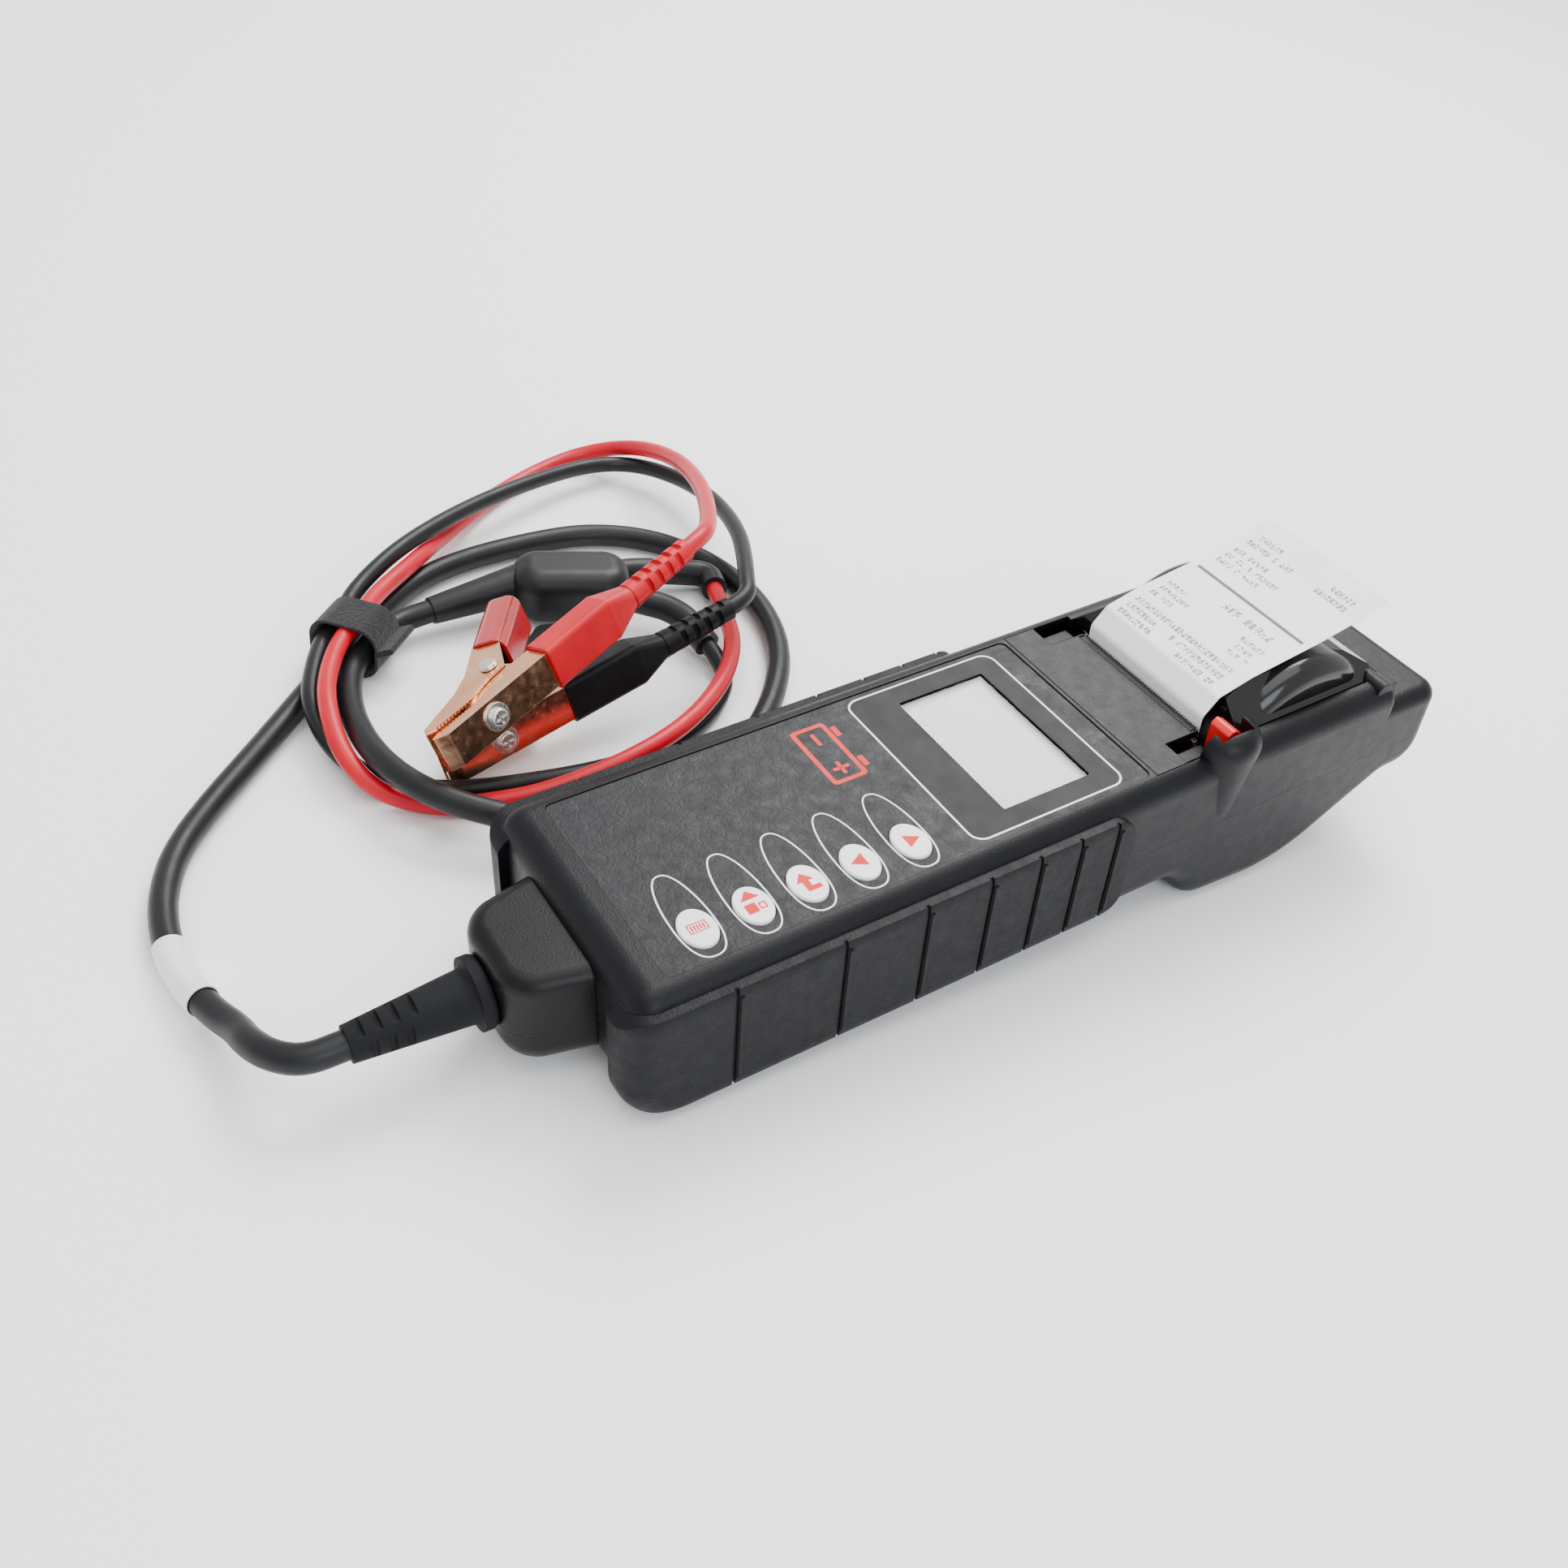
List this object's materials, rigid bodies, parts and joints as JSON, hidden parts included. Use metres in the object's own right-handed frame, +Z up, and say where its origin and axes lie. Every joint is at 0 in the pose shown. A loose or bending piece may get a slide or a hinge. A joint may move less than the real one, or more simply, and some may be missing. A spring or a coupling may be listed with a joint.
{
  "type": "battery tester",
  "caption": "Handheld battery tester with keypad, screen, receipt printer under a hinged door, and two sprung copper Kelvin clamps on a split cable.",
  "frame": {"origin": "on the table under the middle of the tester", "axes": "+Z up, +Y along the tester from its cable to its printer, +X to the right of its keys"},
  "size_m": [0.3532, 0.4247, 0.0994],
  "materials": {
    "case_plastic": "satin",
    "hood_plastic": "satin",
    "grip_rubber": "matte",
    "door_plastic": "polished",
    "panel_film": "satin",
    "key_white": "satin",
    "key_silicone": "matte",
    "clear_plastic": "polished",
    "lcd_glass": "polished",
    "board_laminate": "satin",
    "lever_red": "satin",
    "steel": "satin",
    "zinc": "satin",
    "paper": "matte",
    "platen_rubber": "matte",
    "gear_plastic": "satin",
    "cell_jacket": "satin",
    "copper": "polished",
    "vinyl_red": "satin",
    "vinyl_black": "satin",
    "cap_red": "polished",
    "cable_black": "satin",
    "cable_red": "satin",
    "tie_fabric": "matte",
    "label_film": "satin"
  },
  "bodies": {
    "tester": {"top_case": "case_plastic", "bottom_case": "case_plastic", "case_screws": "steel", "grip_left": "grip_rubber", "grip_right": "grip_rubber", "keypad_overlay": "panel_film", "lcd_window": "clear_plastic", "lcd_module": "lcd_glass", "main_board": "board_laminate", "key_mat": "key_silicone", "printer_cover": "case_plastic", "tear_blade": "steel", "printer_frame": "case_plastic", "print_head": "steel", "stepper_motor": "steel", "hinge_pin": "steel", "lever_pin": "steel", "battery_door": "case_plastic", "aa_cells": "cell_jacket", "battery_contacts": "steel", "hood_top": "hood_plastic", "hood_bottom": "hood_plastic", "strain_relief": "cable_black", "main_cable": "cable_black", "cable_label": "label_film", "y_splitter": "cable_black", "red_lead": "cable_red", "black_lead": "cable_black", "cable_tie": "tie_fabric", "red_boot": "vinyl_red", "red_fixed_jaw": "copper", "red_pivot": "zinc", "red_spring": "steel", "red_screw": "zinc", "black_boot": "vinyl_black", "black_fixed_jaw": "copper", "black_pivot": "zinc", "black_spring": "steel", "black_screw": "zinc"},
    "door": {"printer_door": "door_plastic", "receipt": "paper"},
    "platen": {"platen_roller": "platen_rubber", "platen_gear": "gear_plastic"},
    "drive_gear": {"motor_gear": "gear_plastic"},
    "roll": {"paper_roll": "paper"},
    "lever": {"release_lever": "lever_red"},
    "red_grip": {"red_moving_jaw": "copper", "red_handle_cap": "cap_red"},
    "black_grip": {"black_moving_jaw": "copper", "black_handle_cap": "vinyl_black"},
    "press_menu": {"key_menu": "key_white"},
    "press_back": {"key_back": "key_white"},
    "press_enter": {"key_enter": "key_white"},
    "press_down": {"key_down": "key_white"},
    "press_up": {"key_up": "key_white"}
  },
  "joints": [
    {"name": "menu_press", "type": "slide", "parent": "tester", "child": "press_menu", "axis": [0, 0.0767, -0.9971], "range_m": [0, 0.0006], "stiffness_N_per_m": 600, "springref_m": -0.0008},
    {"name": "back_press", "type": "slide", "parent": "tester", "child": "press_back", "axis": [0, 0.0767, -0.9971], "range_m": [0, 0.0006], "stiffness_N_per_m": 600, "springref_m": -0.0008},
    {"name": "enter_press", "type": "slide", "parent": "tester", "child": "press_enter", "axis": [0, 0.0767, -0.9971], "range_m": [0, 0.0006], "stiffness_N_per_m": 600, "springref_m": -0.0008},
    {"name": "down_press", "type": "slide", "parent": "tester", "child": "press_down", "axis": [0, 0.0767, -0.9971], "range_m": [0, 0.0006], "stiffness_N_per_m": 600, "springref_m": -0.0008},
    {"name": "up_press", "type": "slide", "parent": "tester", "child": "press_up", "axis": [0, 0.0767, -0.9971], "range_m": [0, 0.0006], "stiffness_N_per_m": 600, "springref_m": -0.0008},
    {"name": "door_hinge", "type": "hinge", "parent": "tester", "child": "door", "pos_m": [0, 0.16179, 0.06965], "axis": [-1, 0, 0], "range_deg": [0, 62]},
    {"name": "platen_turn", "type": "hinge", "parent": "door", "child": "platen", "pos_m": [0, 0.09876, 0.05979], "axis": [1, 0, 0], "continuous": true},
    {"name": "drive_turn", "type": "hinge", "parent": "tester", "child": "drive_gear", "pos_m": [0, 0.09964, 0.04847], "axis": [1, 0, 0], "continuous": true},
    {"name": "roll_turn", "type": "hinge", "parent": "tester", "child": "roll", "pos_m": [0, 0.13161, 0.03173], "axis": [1, 0, 0], "continuous": true},
    {"name": "lever_release", "type": "hinge", "parent": "tester", "child": "lever", "pos_m": [0, 0.09181, 0.05374], "axis": [1, 0, 0], "range_deg": [0, 6], "stiffness_Nm_per_rad": 0.05, "springref_deg": -8.59},
    {"name": "red_clamp", "type": "hinge", "parent": "tester", "child": "red_grip", "pos_m": [-0.12176, -0.09412, 0.03209], "axis": [0.2811, 0.3211, -0.9044], "range_deg": [0, 28], "stiffness_Nm_per_rad": 0.4, "springref_deg": -20.05},
    {"name": "black_clamp", "type": "hinge", "parent": "tester", "child": "black_grip", "pos_m": [-0.13103, -0.08188, 0.01126], "axis": [0.301, 0.224, -0.927], "range_deg": [0, 28], "stiffness_Nm_per_rad": 0.4, "springref_deg": -20.05}
  ],
  "couplings": [
    {"joint": "drive_turn", "follows": "platen_turn", "ratio": -1.3333},
    {"joint": "roll_turn", "follows": "platen_turn", "ratio": -0.2}
  ]
}
